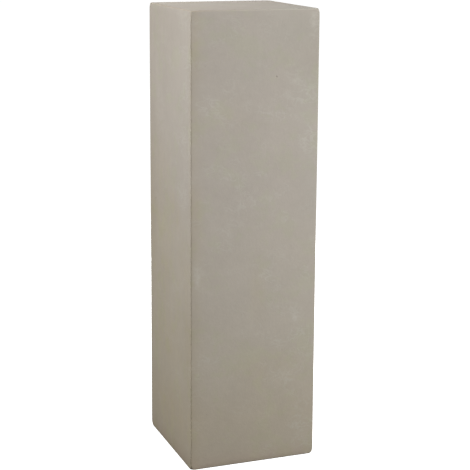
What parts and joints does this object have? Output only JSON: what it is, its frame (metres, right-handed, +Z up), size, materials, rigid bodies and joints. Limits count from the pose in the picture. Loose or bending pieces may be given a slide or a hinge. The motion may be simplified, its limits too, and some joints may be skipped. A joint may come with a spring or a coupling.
{
  "type": "resin display column",
  "caption": "Tall square display column cast in cement-look resin, hollow and open underneath, that stands on its rim and carries a pot or an ornament.",
  "frame": {"origin": "middle of the footprint, on the floor", "axes": "+Z up the column, front face towards -Y, sides square to X and Y"},
  "size_m": [0.2924, 0.2924, 1],
  "materials": {
    "cement_resin": "matt mineral-filled resin with a mottled grey-beige cement look"
  },
  "bodies": {
    "root": {"column": "cement_resin"}
  },
  "joints": []
}
